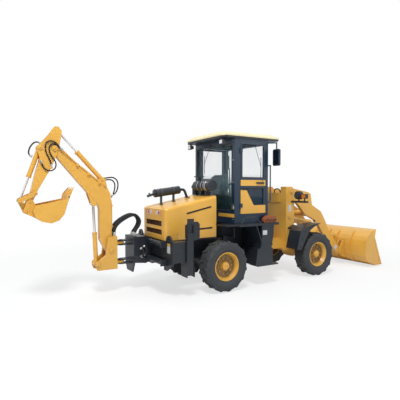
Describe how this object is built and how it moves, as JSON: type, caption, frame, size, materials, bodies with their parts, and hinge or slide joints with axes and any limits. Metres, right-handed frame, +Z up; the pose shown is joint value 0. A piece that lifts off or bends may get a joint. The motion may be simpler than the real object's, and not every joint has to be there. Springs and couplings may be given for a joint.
{
  "type": "backhoe loader",
  "caption": "Articulated wheeled loader with an enclosed cab over the middle, a wide front bucket on lifting arms, and a side-shifting digging arm and folding stabilizer legs behind.",
  "frame": {"origin": "middle of the machine's outline seen from above, at the height of the tyres' lowest points", "axes": "+X forward, towards the loader bucket; +Y to the machine's left; +Z up"},
  "size_m": [8.1105, 1.96, 3.03],
  "materials": {
    "yellow_paint": "satin",
    "dark_paint": "satin",
    "cab_paint": "satin",
    "roof_paint": "satin",
    "tyre_rubber": "matte",
    "rim_paint": "satin",
    "chrome_rod": "polished",
    "clear_glass": "clear",
    "black_plastic": "matte",
    "exhaust_paint": "matte",
    "lamp_lens": "gloss",
    "seat_cover": "matte",
    "engine_metal": "rough"
  },
  "bodies": {
    "rear_frame": {"rear_chassis": "dark_paint", "rear_axle": "dark_paint", "engine_block": "engine_metal", "engine_hood": "yellow_paint", "hood_grilles": "yellow_paint", "tail_lamps": "lamp_lens", "muffler": "exhaust_paint", "air_cleaner": "exhaust_paint", "cab_frame": "cab_paint", "roof_rim": "dark_paint", "work_lamps": "black_plastic", "cab_roof": "roof_paint", "cab_glass": "clear_glass", "driver_seat": "black_plastic", "seat_cushions": "seat_cover", "steering_column": "black_plastic", "platform_right": "dark_paint", "platform_left": "dark_paint", "stabilizer_frame": "dark_paint"},
    "front_frame": {"front_frame": "yellow_paint", "front_axle": "yellow_paint", "front_fenders": "dark_paint", "headlamps": "black_plastic"},
    "wheel_rear_left": {"tyre_rear_left": "tyre_rubber", "rim_rear_left": "rim_paint"},
    "wheel_rear_right": {"tyre_rear_right": "tyre_rubber", "rim_rear_right": "rim_paint"},
    "wheel_front_left": {"tyre_front_left": "tyre_rubber", "rim_front_left": "rim_paint"},
    "wheel_front_right": {"tyre_front_right": "tyre_rubber", "rim_front_right": "rim_paint"},
    "door_right": {"door_right": "cab_paint", "door_glass_right": "clear_glass"},
    "door_left": {"door_left": "cab_paint", "door_glass_left": "clear_glass"},
    "loader_arms": {"loader_arms": "yellow_paint"},
    "loader_bucket": {"loader_bucket": "yellow_paint"},
    "lift_barrels": {"lift_barrels": "yellow_paint"},
    "lift_rods": {"lift_rods": "chrome_rod"},
    "tilt_barrel": {"tilt_barrel": "yellow_paint"},
    "tilt_rod": {"tilt_rod": "chrome_rod"},
    "carriage": {"carriage": "dark_paint"},
    "swing_post": {"swing_post": "yellow_paint"},
    "boom": {"boom": "yellow_paint"},
    "stick": {"stick": "yellow_paint"},
    "digging_bucket": {"digging_bucket": "yellow_paint"},
    "boom_barrel": {"boom_barrel": "yellow_paint"},
    "boom_rod": {"boom_rod": "chrome_rod"},
    "stick_barrel": {"stick_barrel": "yellow_paint"},
    "stick_rod": {"stick_rod": "chrome_rod"},
    "dig_barrel": {"dig_barrel": "yellow_paint"},
    "dig_rod": {"dig_rod": "chrome_rod"},
    "guide_link": {"guide_link": "yellow_paint"},
    "tipping_link": {"tipping_link": "yellow_paint"},
    "stabilizer_right": {"stabilizer_right": "dark_paint"},
    "stabilizer_left": {"stabilizer_left": "dark_paint"}
  },
  "joints": [
    {"name": "rear_left_wheel_turn", "type": "hinge", "parent": "rear_frame", "child": "wheel_rear_left", "pos_m": [-0.6575, 0.728, 0.4787], "axis": [0, 1, 0], "continuous": true},
    {"name": "rear_right_wheel_turn", "type": "hinge", "parent": "rear_frame", "child": "wheel_rear_right", "pos_m": [-0.6575, -0.728, 0.4787], "axis": [0, 1, 0], "continuous": true},
    {"name": "front_left_wheel_turn", "type": "hinge", "parent": "front_frame", "child": "wheel_front_left", "pos_m": [1.8225, 0.728, 0.4787], "axis": [0, 1, 0], "continuous": true},
    {"name": "front_right_wheel_turn", "type": "hinge", "parent": "front_frame", "child": "wheel_front_right", "pos_m": [1.8225, -0.728, 0.4787], "axis": [0, 1, 0], "continuous": true},
    {"name": "articulation", "type": "hinge", "parent": "rear_frame", "child": "front_frame", "pos_m": [0.6125, 0, 0.68], "axis": [0, 0, 1], "range_deg": [-35, 35]},
    {"name": "right_door_swing", "type": "hinge", "parent": "rear_frame", "child": "door_right", "pos_m": [-0.2635, -0.736, 1.6], "axis": [0, 0, -1], "range_deg": [0, 85]},
    {"name": "left_door_swing", "type": "hinge", "parent": "rear_frame", "child": "door_left", "pos_m": [-0.2635, 0.736, 1.6], "axis": [0, 0, 1], "range_deg": [0, 85]},
    {"name": "loader_lift", "type": "hinge", "parent": "front_frame", "child": "loader_arms", "pos_m": [1.4525, 0, 1.86], "axis": [0, -1, 0], "range_deg": [0, 70]},
    {"name": "loader_bucket_tilt", "type": "hinge", "parent": "loader_arms", "child": "loader_bucket", "pos_m": [3.1925, 0, 0.35], "axis": [0, 1, 0], "range_deg": [-20, 100]},
    {"name": "lift_barrels_swing", "type": "hinge", "parent": "front_frame", "child": "lift_barrels", "pos_m": [1.3775, 0, 1.29], "axis": [0, -1, 0], "range_deg": [-2, 65]},
    {"name": "lift_rods_slide", "type": "slide", "parent": "lift_barrels", "child": "lift_rods", "axis": [0.9825, 0, -0.1864], "range_m": [-0.005, 0.64]},
    {"name": "tilt_barrel_swing", "type": "hinge", "parent": "loader_arms", "child": "tilt_barrel", "pos_m": [2.0825, 0, 1.765], "axis": [0, 1, 0], "range_deg": [-10, 10]},
    {"name": "tilt_rod_slide", "type": "slide", "parent": "tilt_barrel", "child": "tilt_rod", "axis": [0.7179, 0, -0.6961], "range_m": [-0.2, 0.56]},
    {"name": "carriage_shift", "type": "slide", "parent": "rear_frame", "child": "carriage", "axis": [0, 1, 0], "range_m": [-0.62, 0]},
    {"name": "swing", "type": "hinge", "parent": "carriage", "child": "swing_post", "pos_m": [-2.2975, 0.31, 0.74], "axis": [0, 0, 1], "range_deg": [-85, 85]},
    {"name": "boom_lower", "type": "hinge", "parent": "swing_post", "child": "boom", "pos_m": [-2.5175, 0.31, 0.8], "axis": [0, -1, 0], "range_deg": [0, 85]},
    {"name": "stick_reach", "type": "hinge", "parent": "boom", "child": "stick", "pos_m": [-3.4625, 0.31, 2.612], "axis": [0, 1, 0], "range_deg": [-10, 60]},
    {"name": "digging_bucket_turn", "type": "hinge", "parent": "stick", "child": "digging_bucket", "pos_m": [-3.8575, 0.31, 1.72], "axis": [0, 1, 0], "range_deg": [-15, 130]},
    {"name": "boom_barrel_swing", "type": "hinge", "parent": "swing_post", "child": "boom_barrel", "pos_m": [-2.7625, 0.31, 0.56], "axis": [0, -1, 0], "range_deg": [-2, 90]},
    {"name": "boom_rod_slide", "type": "slide", "parent": "boom_barrel", "child": "boom_rod", "axis": [-0.0427, 0, 0.9991], "range_m": [-0.5, 0.01]},
    {"name": "stick_barrel_swing", "type": "hinge", "parent": "boom", "child": "stick_barrel", "pos_m": [-2.6425, 0.31, 2.09], "axis": [0, 1, 0], "range_deg": [-8, 8]},
    {"name": "stick_rod_slide", "type": "slide", "parent": "stick_barrel", "child": "stick_rod", "axis": [-0.6737, 0, 0.739], "range_m": [-0.33, 0.08]},
    {"name": "dig_barrel_swing", "type": "hinge", "parent": "stick", "child": "dig_barrel", "pos_m": [-3.6925, 0.31, 2.61], "axis": [0, 1, 0], "range_deg": [-10, 10]},
    {"name": "dig_rod_slide", "type": "slide", "parent": "dig_barrel", "child": "dig_rod", "axis": [-0.3357, 0, -0.942], "range_m": [-0.36, 0.06]},
    {"name": "guide_link_swing", "type": "hinge", "parent": "stick", "child": "guide_link", "pos_m": [-3.7775, 0.31, 1.85], "axis": [0, 1, 0], "range_deg": [-20, 100]},
    {"name": "tipping_link_swing", "type": "hinge", "parent": "digging_bucket", "child": "tipping_link", "pos_m": [-3.9195, 0.31, 1.56], "axis": [0, -1, 0], "range_deg": [-20, 110]},
    {"name": "right_stabilizer_swing", "type": "hinge", "parent": "rear_frame", "child": "stabilizer_right", "pos_m": [-1.4275, -0.79, 0.43], "axis": [1, 0, 0], "range_deg": [0, 115]},
    {"name": "left_stabilizer_swing", "type": "hinge", "parent": "rear_frame", "child": "stabilizer_left", "pos_m": [-1.4275, 0.79, 0.43], "axis": [-1, 0, 0], "range_deg": [0, 115]}
  ],
  "couplings": [
    {"joint": "lift_barrels_swing", "follows": "loader_lift", "ratio": 0.8201},
    {"joint": "lift_rods_slide", "follows": "loader_lift", "m_per_rad": 0.4904},
    {"joint": "tilt_barrel_swing", "follows": "loader_bucket_tilt", "ratio": 0.01},
    {"joint": "tilt_rod_slide", "follows": "loader_bucket_tilt", "m_per_rad": 0.237},
    {"joint": "boom_barrel_swing", "follows": "boom_lower", "ratio": 1.0046},
    {"joint": "boom_rod_slide", "follows": "boom_lower", "m_per_rad": -0.3123},
    {"joint": "stick_barrel_swing", "follows": "stick_reach", "ratio": 0.0467},
    {"joint": "stick_rod_slide", "follows": "stick_reach", "m_per_rad": -0.2795},
    {"joint": "dig_barrel_swing", "follows": "digging_bucket_turn", "ratio": 0.0427},
    {"joint": "dig_rod_slide", "follows": "digging_bucket_turn", "m_per_rad": -0.1446},
    {"joint": "guide_link_swing", "follows": "digging_bucket_turn", "ratio": 0.657},
    {"joint": "tipping_link_swing", "follows": "digging_bucket_turn", "ratio": 0.731}
  ]
}
